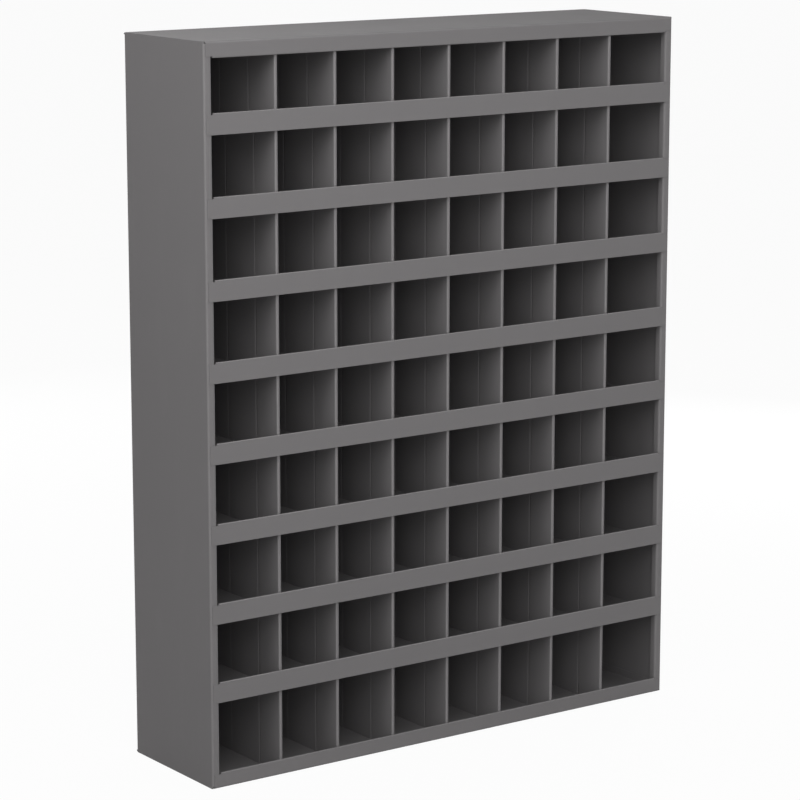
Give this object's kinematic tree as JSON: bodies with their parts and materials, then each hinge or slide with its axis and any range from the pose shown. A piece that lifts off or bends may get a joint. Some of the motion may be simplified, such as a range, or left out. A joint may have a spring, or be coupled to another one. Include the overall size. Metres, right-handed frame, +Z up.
{
  "type": "pigeonhole storage bin",
  "caption": "Open-front steel storage bin: a folded and welded sheet case with lipped shelves and upright dividers that form a grid of pigeonholes for small parts.",
  "frame": {"origin": "on the floor under the middle of the cabinet's bounding box", "axes": "+Z up, +Y towards the back panel, +X towards the right side panel seen from the front"},
  "size_m": [0.8382, 0.216, 1.0668],
  "materials": {
    "grey_powder_coat": "satin grey powder coat on sheet steel"
  },
  "bodies": {
    "root": {"left_side_panel": "grey_powder_coat", "right_side_panel": "grey_powder_coat", "top_panel": "grey_powder_coat", "bottom_panel": "grey_powder_coat", "back_panel": "grey_powder_coat", "shelf_1": "grey_powder_coat", "shelf_2": "grey_powder_coat", "shelf_3": "grey_powder_coat", "shelf_4": "grey_powder_coat", "shelf_5": "grey_powder_coat", "shelf_6": "grey_powder_coat", "shelf_7": "grey_powder_coat", "shelf_8": "grey_powder_coat", "dividers_row_1": "grey_powder_coat", "dividers_row_2": "grey_powder_coat", "dividers_row_3": "grey_powder_coat", "dividers_row_4": "grey_powder_coat", "dividers_row_5": "grey_powder_coat", "dividers_row_6": "grey_powder_coat", "dividers_row_7": "grey_powder_coat", "dividers_row_8": "grey_powder_coat", "dividers_row_9": "grey_powder_coat"}
  },
  "joints": []
}
